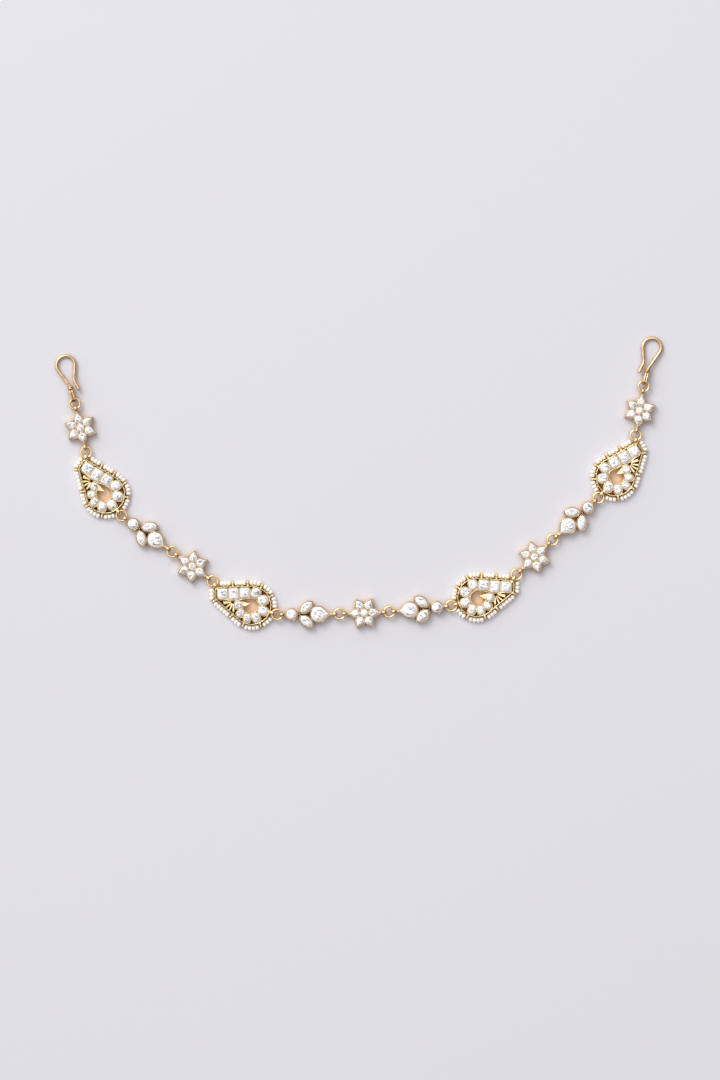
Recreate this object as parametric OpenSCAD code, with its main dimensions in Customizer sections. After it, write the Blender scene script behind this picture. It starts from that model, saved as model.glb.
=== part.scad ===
// Matha patti, a jewelled head chain, lying flat with its flat backs on the ground.
// Flowers, paisleys and trios of foil-backed white stones in gold collets, joined by
// jump rings, with an open wire hook at each end. The backs lie on z = 0.

/* [Jump rings and link eyes] */
// Radius of a jump ring, to the middle of its wire
ring_r = 1.95; // [1.7:0.05:2.6]
// Thickness of a jump ring's wire
ring_wire = 0.8; // [0.5:0.05:0.9]
// Bore of the link eye that a jump ring passes through
eye_bore = 1.3; // [1.2:0.05:1.6]
// Thickness of a link eye around its bore
eye_rim = 0.6; // [0.4:0.05:0.8]
// Width of a link eye, across the chain
eye_width = 1.4; // [1.0:0.1:1.6]
// Height of a link eye's bore above the ground
eye_height = 2.1; // [1.9:0.05:2.4]
// Distance from the edge of a setting to the middle of its jump ring
link_reach = 3.1; // [3.0:0.05:3.5]

/* [Collets and stones] */
// Height of the gold settings
wall_height = 2.6; // [2.2:0.1:3.2]
// Depth of the pockets that the stones sit in
pocket_depth = 1.4; // [0.8:0.1:1.8]
// Gold around each stone
collet_wall = 0.45; // [0.35:0.05:0.6]
// Gap between a stone and its pocket, all round and below
stone_gap = 0.05; // [0.03:0.01:0.1]
// Height of a stone's girdle below the top of its collet
girdle_drop = 0.1; // [0:0.05:0.3]
// Height of a stone's crown, from girdle to table
crown_height = 0.6; // [0.3:0.05:0.9]
// Size of a stone's table, as a share of the stone
table_share = 0.62; // [0.4:0.02:0.8]
// How far a pear-shaped stone fills the point of its pocket, as a share of the point
point_fill = 0.84; // [0.76:0.02:1]

/* [Flower] */
// Number of petals
petal_count = 6; // [6:2:6]
// Diameter of the flower's middle stone
middle_stone = 2.8; // [2.2:0.1:3.0]
// Diameter of a petal stone's round end
petal_stone = 2.9; // [2.4:0.1:3.0]
// Distance from the flower's middle to the middle of a petal's round end
petal_at = 3.3; // [3.2:0.05:3.8]
// Length of the point of a petal stone's pocket, from the middle of its round end
petal_point = 2.3; // [2.0:0.1:3.0]

/* [Trio] */
// Diameter of the round stone
round_stone = 3.9; // [3.2:0.1:4.2]
// Length of each of the two marquise stones
marquise_length = 5.6; // [5.2:0.1:6.0]
// Width of each marquise stone
marquise_width = 3.2; // [2.8:0.1:3.4]
// Distance of the marquise stones from the round one, along the chain
marquise_along = 5.65; // [5.3:0.05:5.8]
// Distance of the marquise stones from the trio's middle line
marquise_aside = 2.7; // [2.6:0.05:2.9]
// Angle of the marquise stones to the chain
marquise_turn = 41.5; // [34:0.5:44]
// Diameter of the pear stone's round end
pear_stone = 5.6; // [5.4:0.1:5.8]
// Distance from the round stone to the pear stone's round end
pear_along = 10.25; // [10.05:0.05:10.4]
// Length of the point of the pear stone's pocket, from the middle of its round end
pear_point = 3.9; // [3.6:0.1:4.3]
// Length of the neck between the pear collet's point and its link eye
pear_neck = 0.35; // [0:0.05:0.6]

/* [Paisley] */
// Radius of the belly's outline
belly_r = 7.1; // [6.9:0.1:7.6]
// Radius of the corner that the tail's jump ring hangs from
horn_r = 1.0; // [0.9:0.1:1.2]
// Radius of the tail's other corner
heel_r = 1.5; // [1.4:0.1:1.8]
// Diameter of the hole in the belly
hole_d = 5.6; // [4.4:0.1:5.8]
// Depth of the small dark recesses between the stones
recess_depth = 1.2; // [0.6:0.1:1.8]

/* [Pearls] */
// Diameter of a seed pearl
pearl_d = 1.86; // [1.6:0.02:1.9]
// Length of a seed pearl along its wire
pearl_length = 1.26; // [1.1:0.02:1.4]
// Smallest gap between neighbouring pearls
pearl_gap = 0.13; // [0.1:0.01:0.3]
// Bore of a pearl and of the eyelets that carry the wire
pearl_bore = 0.56; // [0.5:0.02:0.7]
// Thickness of the stringing wire
string_wire = 0.3; // [0.2:0.02:0.36]
// Distance from the edge of the setting to the stringing wire
string_gap = 1.55; // [1.45:0.05:1.8]
// Height of the stringing wire above the ground
string_height = 0.98; // [0.96:0.01:1.1]
// Outer diameter of an eyelet
eyelet_d = 1.7; // [1.4:0.05:1.8]
// Width of an eyelet along the wire
eyelet_width = 0.9; // [0.6:0.05:1.1]

/* [Hooks] */
// Thickness of the hook's wire
hook_wire = 1.25; // [1.0:0.05:1.4]
// Radius of the hook's bow, to the middle of its wire
bow_r = 3.5; // [3.4:0.1:4.2]
// Length of the straight wire between the hook's loop and its first bend
hook_lead = 0.8; // [0.6:0.05:1.2]
// Radius of the hook's two gentle bends, to the middle of its wire
bend_r = 3; // [2.4:0.1:3.6]
// Length of the hook's slanted limb
limb_length = 7.2; // [7.0:0.1:9.0]
// Length of the hook's straight free limb
free_length = 4.8; // [4.0:0.1:6.0]
// Length of the flared end of the free limb
flare_length = 3.0; // [2.5:0.1:4.5]
// Thickness of the wire of the loop that holds the jump ring
loop_wire = 0.9; // [0.7:0.05:1.0]
// Length of the straight part of that loop
loop_length = 2.4; // [2.0:0.1:3.5]
// Thickness of the wire wrapped round the foot of the hook
wrap_wire = 0.6; // [0.4:0.05:0.8]
// How far the wraps sink into the hook's wire and into each other
wrap_sink = 0.05; // [0.03:0.01:0.08]

/* [Hidden] */
$fn = 48;
cut = 0.5;
stone_sides = 16;
collet_sides = 32;
arc_step = 6;
gold = "goldenrod";
stone_colour = "whitesmoke";
pearl_colour = "ivory";

// The chain from left to right: each motif, and the heading of the line between the two
// jump rings that hold it.
CHAIN = [
    ["flower", -76.8], ["paisley", -60.9], ["trio", -35.4],
    ["flower", -36.1], ["paisley", -27.4], ["trio", 0.5],
    ["flower", 2.3],
    ["trio", 5.6], ["paisley", 25.8], ["flower", 43.8],
    ["trio", 42.5], ["paisley", 59.2], ["flower", 81],
];
// Heading of each hook's shank, away from its jump ring.
LEFT_SHANK = 105.4;
RIGHT_SHANK = 75.5;

motif_count = len(CHAIN);
middle_motif = floor(motif_count / 2);

// How many motifs of the same kind stand to the left of motif i, itself included.
function tally(i) = len([for (j = [0:i]) if (CHAIN[j][0] == CHAIN[i][0]) j]);
function motif_name(i) = str(CHAIN[i][0], "_", tally(i));
function layers(i) = CHAIN[i][0] == "paisley"
    ? ["setting", "stones", "pearls", "pearl_wire"] : ["setting", "stones"];

// Plane geometry.
function turned(p, a) = [p[0] * cos(a) - p[1] * sin(a), p[0] * sin(a) + p[1] * cos(a)];
function polar(r, a) = [r * cos(a), r * sin(a)];
function heading(v) = atan2(v[1], v[0]);
function flipped(p) = [-p[0], p[1]];
function sweep_angle(from, to) = ((to - from) % 360 + 360) % 360;

// Outlines of the stones, around their own middle, with their length or point along +x.
// grow moves the whole outline outwards by that much.
function oval_outline(length, width, grow, sides) =
    [for (i = [0:sides - 1]) let (a = 360 * i / sides)
        [(length / 2 + grow) * cos(a), (width / 2 + grow) * sin(a)]];

function cushion_outline(length, width, grow, sides) =
    let (corner = 0.3 * min(length, width), steps = sides / 4 - 1)
    [for (quarter = [0:3], i = [0:steps])
        let (a = 90 * quarter + 90 * i / steps,
             sx = quarter == 0 || quarter == 3 ? 1 : -1, sy = quarter < 2 ? 1 : -1)
        [sx * (length / 2 - corner) + (corner + grow) * cos(a),
         sy * (width / 2 - corner) + (corner + grow) * sin(a)]];

function marquise_outline(length, width, grow, sides) =
    let (side_r = (length * length + width * width) / (4 * width),
         off = side_r - width / 2, r = side_r + grow,
         half = acos(off / r), steps = sides / 2)
    [for (side = [0, 1], i = [0:steps - 1])
        let (a = 90 - half + 2 * half * i / steps, p = [r * cos(a), r * sin(a) - off])
        side == 0 ? p : -p];

function pear_outline(point, width, grow, sides) =
    let (r = width / 2, half = acos(r / point), arc = 360 - 2 * half)
    concat([[(r + grow) * point / r, 0]],
        [for (i = [0:sides - 2]) polar(r + grow, half + arc * i / (sides - 2))]);

function outline(kind, length, width, grow, sides) =
    kind == "oval" ? oval_outline(length, width, grow, sides) :
    kind == "cushion" ? cushion_outline(length, width, grow, sides) :
    kind == "marquise" ? marquise_outline(length, width, grow, sides) :
    pear_outline(length, width, grow, sides);

// Stones. Columns: x, y, heading, cut, length (or the point's, on a pear), width.
flower_stones = concat(
    [[0, 0, 0, "oval", middle_stone, middle_stone]],
    [for (i = [0:petal_count - 1]) let (a = 360 * i / petal_count)
        concat(polar(petal_at, a), [a, "pear", petal_point, petal_stone])]
);

trio_stones = [
    [0, 0, 0, "oval", round_stone, round_stone],
    [marquise_along, marquise_aside, marquise_turn, "marquise", marquise_length, marquise_width],
    [marquise_along, -marquise_aside, -marquise_turn, "marquise", marquise_length, marquise_width],
    [pear_along, 0, 0, "pear", pear_point, pear_stone],
];

// The paisley's outline is a belt around three discs: belly, horn and heel. Columns: x, y, r.
// The hole's middle is the paisley's own origin.
paisley_discs = [[0.35, 0.35, belly_r], [-13.55, -0.35, horn_r], [-12.05, -2.25, heel_r]];

// Heading of the outward normal of the straight run from disc i to the next one.
function run_normal(discs, i) =
    let (a = discs[i], b = discs[(i + 1) % len(discs)], v = [b[0] - a[0], b[1] - a[1]])
    heading(v) - acos((a[2] - b[2]) / norm(v));

// Points of the belt, grown outwards, anticlockwise from the start of the first disc's arc.
function belt(discs, grow, step) =
    [for (i = [0:len(discs) - 1])
        let (start = run_normal(discs, (i + len(discs) - 1) % len(discs)),
             arc = sweep_angle(start, run_normal(discs, i)),
             steps = ceil(arc / step))
        for (k = [0:steps])
            [discs[i][0], discs[i][1]] + polar(discs[i][2] + grow, start + arc * k / steps)];

// The straight top edge of the tail runs from the belly to the horn.
top_normal = run_normal(paisley_discs, 0);
top_offset = belly_r + polar(1, top_normal) * [paisley_discs[0][0], paisley_discs[0][1]];
// The lower edge runs from the heel back to the belly.
low_normal = run_normal(paisley_discs, 2);
low_offset = belly_r + polar(1, low_normal) * [paisley_discs[0][0], paisley_discs[0][1]];

// Three cushion stones stand side by side under the top edge. Columns: distance along the
// tail from the hole's middle, length, width.
tail_rows = [[10.4, 3.8, 4.0], [6.15, 3.6, 4.4], [1.95, 3.7, 3.8]];
// Seven stones follow round the hole in a closing spiral, with a wall between each two.
// Columns: length along the spiral, width.
spiral_rows = [[3.4, 3.6], [3.4, 3.7], [3.2, 3.5], [2.9, 3.3], [2.6, 3.2], [2.5, 3.1], [2.9, 2.8]];
spiral_start = 94.5;
spiral_wall = 0.5;
spiral_r = 5.2;
spiral_close = 0.1;
function spiral_radius(k) = spiral_r - spiral_close * k;
function spiral_angle(k) = k <= 0 ? spiral_start :
    let (apart = (spiral_rows[ceil(k) - 1][0] + spiral_rows[ceil(k)][0]) / 2 + spiral_wall)
    spiral_angle(ceil(k) - 1) - (1 - ceil(k) + k) * 2 * asin(apart / 2 / spiral_radius(k));
function spiral_at(k) = polar(spiral_radius(k), spiral_angle(k));
head_at = spiral_at(len(spiral_rows) - 1);
head_r = spiral_rows[len(spiral_rows) - 1][0] / 2 + collet_wall;

paisley_stones = concat(
    [for (row = tail_rows)
        concat(polar(row[0], top_normal + 90) + polar(top_offset - collet_wall - row[2] / 2, top_normal),
            [top_normal + 90, "cushion", row[1], row[2]])],
    [for (k = [0:len(spiral_rows) - 1])
        concat(spiral_at(k), [spiral_angle(k) + 90, "oval", spiral_rows[k][0], spiral_rows[k][1]])]
);

function stones_of(kind) =
    kind == "flower" ? flower_stones : kind == "trio" ? trio_stones : paisley_stones;

// Where the jump rings stand: each motif has a ring on its outer side and one on its inner
// side, given here as on the left half of the chain.
tail_eye_heading = 149;
belly_eye_heading = 7;
flower_edge = petal_at + (petal_stone / 2 + collet_wall) * petal_point / (petal_stone / 2);
pear_edge = pear_along + (pear_stone / 2 + collet_wall) * pear_point / (pear_stone / 2) + pear_neck;
round_edge = round_stone / 2 + collet_wall;
// Columns: x, y, heading of each setting's edge where an eye stands, outer side first.
function eye_seats(kind) =
    kind == "flower" ? [[-flower_edge, 0, 180], [flower_edge, 0, 0]] :
    kind == "trio" ? [[-round_edge, 0, 180], [pear_edge, 0, 0]] :
    [concat([paisley_discs[1][0], paisley_discs[1][1]] + polar(horn_r, tail_eye_heading), [tail_eye_heading]),
     concat([paisley_discs[0][0], paisley_discs[0][1]] + polar(belly_r, belly_eye_heading), [belly_eye_heading])];

function seat_point(seat) = [seat[0], seat[1]];
function ring_point(seat) = seat_point(seat) + polar(link_reach, seat[2]);

// The right half of the chain is the mirror image of the left.
function is_mirrored(i) = i > middle_motif;
function first_ring(i) = let (seats = eye_seats(CHAIN[i][0]))
    is_mirrored(i) ? flipped(ring_point(seats[1])) : ring_point(seats[0]);
function last_ring(i) = let (seats = eye_seats(CHAIN[i][0]))
    is_mirrored(i) ? flipped(ring_point(seats[0])) : ring_point(seats[1]);
function chord(i) = last_ring(i) - first_ring(i);
function motif_turn(i) = CHAIN[i][1] - heading(chord(i));

// Middle of jump ring i, before the whole chain is centred.
ring_row = [for (i = 0, p = [0, 0]; i <= motif_count;
    p = i < motif_count ? p + polar(norm(chord(i)), CHAIN[i][1]) : p, i = i + 1) p];

// A point of motif i's own frame, in the chain's frame.
function on_chain(i, p) = ring_row[i] + turned((is_mirrored(i) ? flipped(p) : p) - first_ring(i), motif_turn(i));

// The hook's wire, from the loop outwards. Columns: kind, length or radius, turn.
hook_moves = [
    ["line", hook_lead], ["arc", bend_r, 20.9], ["line", limb_length], ["arc", bow_r, -219],
    ["line", free_length], ["arc", bend_r, 31], ["line", flare_length],
];
loop_r = eye_bore / 2 + loop_wire / 2;
hook_start = loop_length + loop_r;
// Where the wire is after the first n moves. Columns: x, y, heading.
function after_moves(n) = n == 0 ? [hook_start, 0, 0] :
    let (s = after_moves(n - 1), m = hook_moves[n - 1])
    m[0] == "line" ? concat([s[0], s[1]] + polar(m[1], s[2]), [s[2]]) :
    let (side = m[2] > 0 ? 90 : -90, middle = [s[0], s[1]] + polar(m[1], s[2] + side))
    concat(middle + polar(m[1], s[2] - side + m[2]), [s[2] + m[2]]);
bow_start = after_moves(3);
bow_at = [bow_start[0], bow_start[1]] + polar(bow_r, bow_start[2] - 90);
// The bow sinks from the height of the eye until it rests on the ground.
hook_tilt = asin((eye_height - hook_wire / 2) / (bow_at[0] + bow_r));

// Jump rings hang in the eyes, a hair above the bottom of their bores.
ring_rest = 0.05;
ring_height = eye_height - eye_bore / 2 + ring_wire / 2 + ring_rest;
// The ring curves inside the eye's bore, so the eye sits half that curve further out.
eye_offset = link_reach - ring_r + eye_width * eye_width / (16 * ring_r);

// The stringing wire runs round the setting, in two strands between the link eyes.
string_points = belt(paisley_discs, string_gap, 2);
string_marks = [for (i = 0, s = 0; i <= len(string_points);
    s = s + norm(string_points[(i + 1) % len(string_points)] - string_points[i % len(string_points)]),
    i = i + 1) s];
string_total = string_marks[len(string_points)];
// Point and heading of the wire at a length s along it.
function string_at(s) =
    let (t = s % string_total,
         i = len([for (mark = string_marks) if (mark <= t) mark]) - 1,
         a = string_points[i % len(string_points)], b = string_points[(i + 1) % len(string_points)],
         along = (t - string_marks[i]) / norm(b - a))
    concat(a + (b - a) * along, [heading(b - a)]);
// Lengths along the wire at which the two link eyes stand.
belly_start = run_normal(paisley_discs, 2);
belly_eye_mark = (belly_r + string_gap) * sweep_angle(belly_start, belly_eye_heading) * PI / 180;
horn_mark = (belly_r + string_gap) * sweep_angle(belly_start, top_normal) * PI / 180
    + norm(belt(paisley_discs, 0, 400)[2] - belt(paisley_discs, 0, 400)[1]);
tail_eye_mark = horn_mark + (horn_r + string_gap) * sweep_angle(top_normal, tail_eye_heading) * PI / 180;

// A pearl next to a link eye keeps clear of the jump ring.
ring_clear = 0.1;
lift = ring_height - string_height;
pearl_reach = ring_r + sqrt(pow(pearl_d / 2 + ring_wire / 2 + ring_clear, 2) - lift * lift);
first_pearl = sqrt(pow(pearl_reach, 2) - pow(link_reach - string_gap, 2));
least_pitch = pearl_length + pearl_gap;
// Each strand: from mark, to mark, and the places of its eyelets as shares of its length.
strands = [
    [belly_eye_mark, tail_eye_mark, [0.18, 0.39, 0.61, 0.82]],
    [tail_eye_mark, belly_eye_mark + string_total, [0.16, 0.43, 0.61, 0.84]],
];
function slot_count(strand) = 1 + floor((strand[1] - strand[0] - 2 * first_pearl) / least_pitch);
function slot_mark(strand, i) = strand[0] + first_pearl
    + (strand[1] - strand[0] - 2 * first_pearl) * i / (slot_count(strand) - 1);
function is_eyelet(strand, i) =
    len([for (share = strand[2]) if (floor(share * slot_count(strand)) == i) i]) > 0;
pearl_marks = [for (strand = strands, i = [0:slot_count(strand) - 1])
    if (!is_eyelet(strand, i)) slot_mark(strand, i)];
eyelet_marks = [for (strand = strands, i = [0:slot_count(strand) - 1])
    if (is_eyelet(strand, i)) slot_mark(strand, i)];

// The middle of the whole chain's outline on the ground is the model's origin.
function hook_point(left, p) =
    (left ? ring_row[0] : ring_row[motif_count])
    + turned([ring_r + p[0] * cos(hook_tilt), left ? p[1] : -p[1]], left ? LEFT_SHANK : RIGHT_SHANK);
left_bow = hook_point(true, bow_at);
right_bow = hook_point(false, bow_at);
bow_out = bow_r + hook_wire / 2;
lowest_pearl = min([for (i = [0:motif_count - 1]) if (CHAIN[i][0] == "paisley")
    for (mark = pearl_marks) let (s = string_at(mark)) on_chain(i, [s[0], s[1]])[1]]) - pearl_d / 2;
chain_middle = [
    (left_bow[0] + right_bow[0]) / 2,
    (max(left_bow[1], right_bow[1]) + bow_out + lowest_pearl) / 2
];

// Bent wire is made of straight and curved lengths that stop just short of each other,
// inside a ball a hair wider than the wire. The ball is turned to keep its poles off the wire.
joint_gap = 0.02;
module wire_joint(wire) {
    rotate([17, 31, 0])
        sphere(d = wire + 0.04);
}

// A straight length of wire along x.
module wire_line(length, wire) {
    translate([joint_gap, 0, 0])
        rotate([0, 90, 0])
            cylinder(h = length - 2 * joint_gap, d = wire);
}

// A curved length of wire in the ground plane, round the origin from one angle to another.
module wire_arc(r, from, to, wire) {
    short = joint_gap / r * 180 / PI;
    rotate([0, 0, from + short])
        rotate_extrude(angle = to - from - 2 * short)
            translate([r, 0])
                circle(d = wire);
}

// A band standing round the z axis, flat inside and half-round outside.
module band_ring(bore, rim, width) {
    inner = bore / 2;
    dome_r = (width * width / 4 + rim * rim) / (2 * rim);
    rotate_extrude()
        intersection() {
            translate([inner + rim - dome_r, 0])
                circle(dome_r);
            translate([inner, -width])
                square([2 * rim, 2 * width]);
        }
}

// An upright eye for a jump ring, on a neck that grows out of the edge of a setting.
module link_eye(seat) {
    neck_in = 1;
    neck_out = eye_offset - eye_bore / 2 - eye_rim / 4;
    neck_low = 0.45;
    translate([seat[0], seat[1], 0])
        rotate([0, 0, seat[2]]) {
            translate([eye_offset, 0, eye_height])
                rotate([90, 0, 0])
                    band_ring(eye_bore, eye_rim, eye_width);
            translate([-neck_in, -eye_width / 2 + 0.1, neck_low])
                cube([neck_in + neck_out, eye_width - 0.2, wall_height - neck_low - 0.1]);
        }
}

// The stones of a motif as pockets or as the gold walls around them.
module stone_prism(stone, grow, sides, low, high) {
    translate([stone[0], stone[1], low])
        rotate([0, 0, stone[2]])
            linear_extrude(high - low)
                polygon(outline(stone[3], stone[4], stone[5], grow, sides));
}

module pockets(stones) {
    for (stone = stones)
        stone_prism(stone, stone_gap, collet_sides, wall_height - pocket_depth, wall_height + cut);
}

module collets(stones) {
    for (stone = stones)
        stone_prism(stone, collet_wall, collet_sides, 0, wall_height);
}

// A flat-backed stone: a tapered base, a girdle, sloping crown facets and a table.
module cut_stone(stone) {
    base_share = 0.92;
    length = stone[3] == "pear" ? stone[4] * point_fill : stone[4];
    rim = outline(stone[3], length, stone[5], 0, stone_sides);
    base_z = wall_height - pocket_depth + stone_gap;
    girdle_z = wall_height - girdle_drop;
    rings = [[base_share, base_z], [1, girdle_z], [table_share, girdle_z + crown_height]];
    points = [for (ring = rings, p = rim) [p[0] * ring[0], p[1] * ring[0], ring[1]]];
    sides = [for (k = [0:1], i = [0:stone_sides - 1]) let (j = (i + 1) % stone_sides)
        [k * stone_sides + i, (k + 1) * stone_sides + i, (k + 1) * stone_sides + j, k * stone_sides + j]];
    base = [for (i = [0:stone_sides - 1]) i];
    table = [for (i = [stone_sides - 1:-1:0]) 2 * stone_sides + i];
    translate([stone[0], stone[1], 0])
        rotate([0, 0, stone[2]])
            polyhedron(points, concat(sides, [base, table]));
}

module flower_setting() {
    difference() {
        union() {
            collets(flower_stones);
            for (seat = eye_seats("flower"))
                link_eye(seat);
        }
        pockets(flower_stones);
    }
}

module trio_setting() {
    // A low plate closes the back of the small gap between the four collets, and solder
    // fills the corner where the round collet meets the marquise ones.
    back_height = 0.8;
    solder_height = wall_height - 0.25;
    corner = [round_edge + 1.2, 0.7];
    solder = [[1.2, -0.6], [corner[0], -corner[1]], [corner[0] + 0.6, 0], corner, [1.2, 0.6]];
    back = [corner, [marquise_along, marquise_aside], [pear_along, 0],
        [marquise_along, -marquise_aside], [corner[0], -corner[1]]];
    difference() {
        union() {
            collets(trio_stones);
            linear_extrude(back_height)
                polygon(back);
            linear_extrude(solder_height)
                polygon(solder);
            for (seat = eye_seats("trio"))
                link_eye(seat);
        }
        pockets(trio_stones);
    }
}

// The comma-shaped opening: a round hole with a crescent over the spiral's beaked head.
module paisley_hole() {
    beak_tip = [-1.5, 0.3];
    crescent = [[-1.5, 2.25], [-4.7, 0], [-2.6, -1.2]];
    difference() {
        translate([0, 0, -cut])
            linear_extrude(wall_height + 2 * cut)
                union() {
                    circle(d = hole_d);
                    polygon(crescent);
                }
        translate([0, 0, -2 * cut])
            linear_extrude(wall_height + 4 * cut)
                union() {
                    translate(head_at)
                        circle(head_r);
                    polygon([head_at + polar(head_r, 30), beak_tip, head_at + polar(head_r, 88), head_at]);
                }
    }
}

// Small triangular recesses between neighbouring stones, under the rim.
module paisley_recesses() {
    half_width = 0.34;
    long = 0.8;
    for (k = [0:len(spiral_rows) - 3])
        let (a = spiral_angle(k + 0.5), out = belly_r - collet_wall - 0.1)
            translate([paisley_discs[0][0], paisley_discs[0][1], wall_height - recess_depth])
                rotate([0, 0, a])
                    linear_extrude(recess_depth + cut)
                        polygon([[out - long, 0], [out, -half_width], [out, half_width]]);
}

// Wedges sunk between gold leaves that fan out from the head to the lower edge.
module paisley_fan() {
    pivot = [-6.45, -1.5];
    inner_r = 0.9;
    longest = 3.6;
    // Columns: headings of the two sides of each wedge.
    wedges = [[199, 207], [225, 240], [253, 266], [278, 290]];
    room = low_offset - collet_wall - pivot * polar(1, low_normal);
    for (wedge = wedges) {
        ends = [for (a = wedge) pivot + polar(min(longest, room / cos(a - low_normal)), a)];
        translate([0, 0, wall_height - recess_depth])
            linear_extrude(recess_depth + cut)
                polygon([pivot + polar(inner_r, (wedge[0] + wedge[1]) / 2), ends[0], ends[1]]);
    }
}

// A small eyelet that carries the stringing wire, on a neck from the edge of the setting.
module string_eyelet(mark) {
    at = string_at(mark);
    neck_width = 0.6;
    neck_low = 0.4;
    neck_in = 0.3;
    translate([at[0], at[1], 0])
        rotate([0, 0, at[2]]) {
            translate([0, 0, string_height])
                rotate([0, 90, 0])
                    band_ring(pearl_bore, (eyelet_d - pearl_bore) / 2, eyelet_width);
            translate([-neck_width / 2, eyelet_d / 2 - 0.3, neck_low])
                cube([neck_width, string_gap - eyelet_d / 2 + 0.3 + neck_in, 1.1]);
        }
}

// The tube under a link eye that the stringing wire passes through, and its bore.
module string_lug(mark, r, length) {
    at = string_at(mark);
    translate([at[0], at[1], string_height])
        rotate([0, 90, at[2]])
            cylinder(h = length, r = r, center = true);
}

module paisley_setting() {
    lug_r = 0.46;
    lug_length = 1.2;
    difference() {
        union() {
            linear_extrude(wall_height)
                polygon(belt(paisley_discs, 0, arc_step));
            for (seat = eye_seats("paisley"))
                link_eye(seat);
            for (mark = [belly_eye_mark, tail_eye_mark])
                string_lug(mark, lug_r, lug_length);
            for (mark = eyelet_marks)
                string_eyelet(mark);
        }
        pockets(paisley_stones);
        paisley_hole();
        paisley_recesses();
        paisley_fan();
        for (mark = [belly_eye_mark, tail_eye_mark])
            string_lug(mark, pearl_bore / 2, 4);
    }
}

// Seed pearls, a little flattened along the wire that runs through them.
module paisley_pearls() {
    for (mark = pearl_marks) {
        at = string_at(mark);
        translate([at[0], at[1], string_height])
            rotate([0, 90, at[2]])
                rotate_extrude()
                    intersection() {
                        translate([pearl_d / 2 - pearl_length / 2, 0])
                            circle(pearl_length / 2);
                        translate([pearl_bore / 2, -pearl_length])
                            square([pearl_d, 2 * pearl_length]);
                    }
    }
}

// The stringing wire: an arc round each disc and a straight run to the next.
module paisley_pearl_wire() {
    count = len(paisley_discs);
    translate([0, 0, string_height])
        for (i = [0:count - 1]) {
            disc = paisley_discs[i];
            next = paisley_discs[(i + 1) % count];
            start = run_normal(paisley_discs, (i + count - 1) % count);
            end = run_normal(paisley_discs, i);
            run = [next[0] - disc[0], next[1] - disc[1]];
            translate([disc[0], disc[1], 0]) {
                for (a = [start, end])
                    rotate([0, 0, a])
                        translate([disc[2] + string_gap, 0, 0])
                            wire_joint(string_wire);
                wire_arc(disc[2] + string_gap, start, start + sweep_angle(start, end), string_wire);
                translate(polar(disc[2] + string_gap, end))
                    rotate([0, 0, end + 90])
                        wire_line(sqrt(run * run - pow(disc[2] - next[2], 2)), string_wire);
            }
        }
}

module jump_ring() {
    color(gold)
        rotate_extrude()
            translate([ring_r, 0])
                circle(d = ring_wire);
}

// The hook's bent wire, one move at a time.
module hook_run(n) {
    if (n < len(hook_moves)) {
        at = after_moves(n);
        move = hook_moves[n];
        translate([at[0], at[1], 0])
            rotate([0, 0, at[2]]) {
                wire_joint(hook_wire);
                if (move[0] == "line")
                    wire_line(move[1], hook_wire);
                else if (move[2] > 0)
                    translate([0, move[1], 0])
                        wire_arc(move[1], -90, -90 + move[2], hook_wire);
                else
                    translate([0, -move[1], 0])
                        wire_arc(move[1], 90 + move[2], 90, hook_wire);
            }
        hook_run(n + 1);
    }
}

// One turn of the upright loop that holds the jump ring.
module hook_loop() {
    wire_arc(loop_r, 90, 270, loop_wire);
    translate([loop_length, 0, 0])
        wire_arc(loop_r, -90, 90, loop_wire);
    for (side = [-loop_r, loop_r])
        translate([0, side, 0]) {
            wire_line(loop_length, loop_wire);
            for (x = [0, loop_length])
                translate([x, 0, 0])
                    wire_joint(loop_wire);
        }
}

// An open wire hook: a loop of two turns round the jump ring, wraps of wire at its foot,
// and the bow.
module hook() {
    wrap_count = 2;
    wrap_r = (hook_wire + wrap_wire) / 2 - wrap_sink;
    wrap_pitch = wrap_wire - 1.6 * wrap_sink;
    end = after_moves(len(hook_moves));
    color(gold)
        rotate([0, hook_tilt, 0]) {
            for (side = [-1, 1])
                translate([0, side * (loop_wire - 2 * wrap_sink) / 2, 0])
                    rotate([90, 0, 0])
                        hook_loop();
            for (i = [0:wrap_count - 1])
                translate([hook_start + loop_wire / 2 + wrap_pitch * i, 0, 0])
                    rotate([0, 90, 0])
                        rotate_extrude()
                            translate([wrap_r, 0])
                                circle(d = wrap_wire);
            // Solder fills the space under the wraps.
            translate([hook_start + loop_wire / 2, 0, 0])
                rotate([0, 90, 0])
                    cylinder(h = wrap_pitch * (wrap_count - 1), r = wrap_r - 1.6 * wrap_sink);
            hook_run(0);
            translate([end[0], end[1], 0])
                wire_joint(hook_wire);
        }
}

module on_ground() {
    translate([-chain_middle[0], -chain_middle[1], 0])
        children();
}

module hook_left() {
    on_ground()
        translate([ring_row[0][0], ring_row[0][1], eye_height])
            rotate([0, 0, LEFT_SHANK])
                translate([ring_r, 0, 0])
                    hook();
}

module hook_right() {
    on_ground()
        translate([ring_row[motif_count][0], ring_row[motif_count][1], eye_height])
            rotate([0, 0, RIGHT_SHANK])
                translate([ring_r, 0, 0])
                    mirror([0, 1, 0])
                        hook();
}

module ring_on_chain(i) {
    on_ground()
        translate([ring_row[i][0], ring_row[i][1], ring_height])
            jump_ring();
}

module motif_on_chain(i) {
    on_ground()
        translate([ring_row[i][0], ring_row[i][1], 0])
            rotate([0, 0, motif_turn(i)])
                translate(-first_ring(i))
                    if (is_mirrored(i))
                        mirror([1, 0, 0])
                            children();
                    else
                        children();
}

module motif_setting(i) {
    color(gold)
        motif_on_chain(i)
            if (CHAIN[i][0] == "flower")
                flower_setting();
            else if (CHAIN[i][0] == "trio")
                trio_setting();
            else
                paisley_setting();
}

module motif_stones(i) {
    color(stone_colour)
        motif_on_chain(i)
            for (stone = stones_of(CHAIN[i][0]))
                cut_stone(stone);
}

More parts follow.
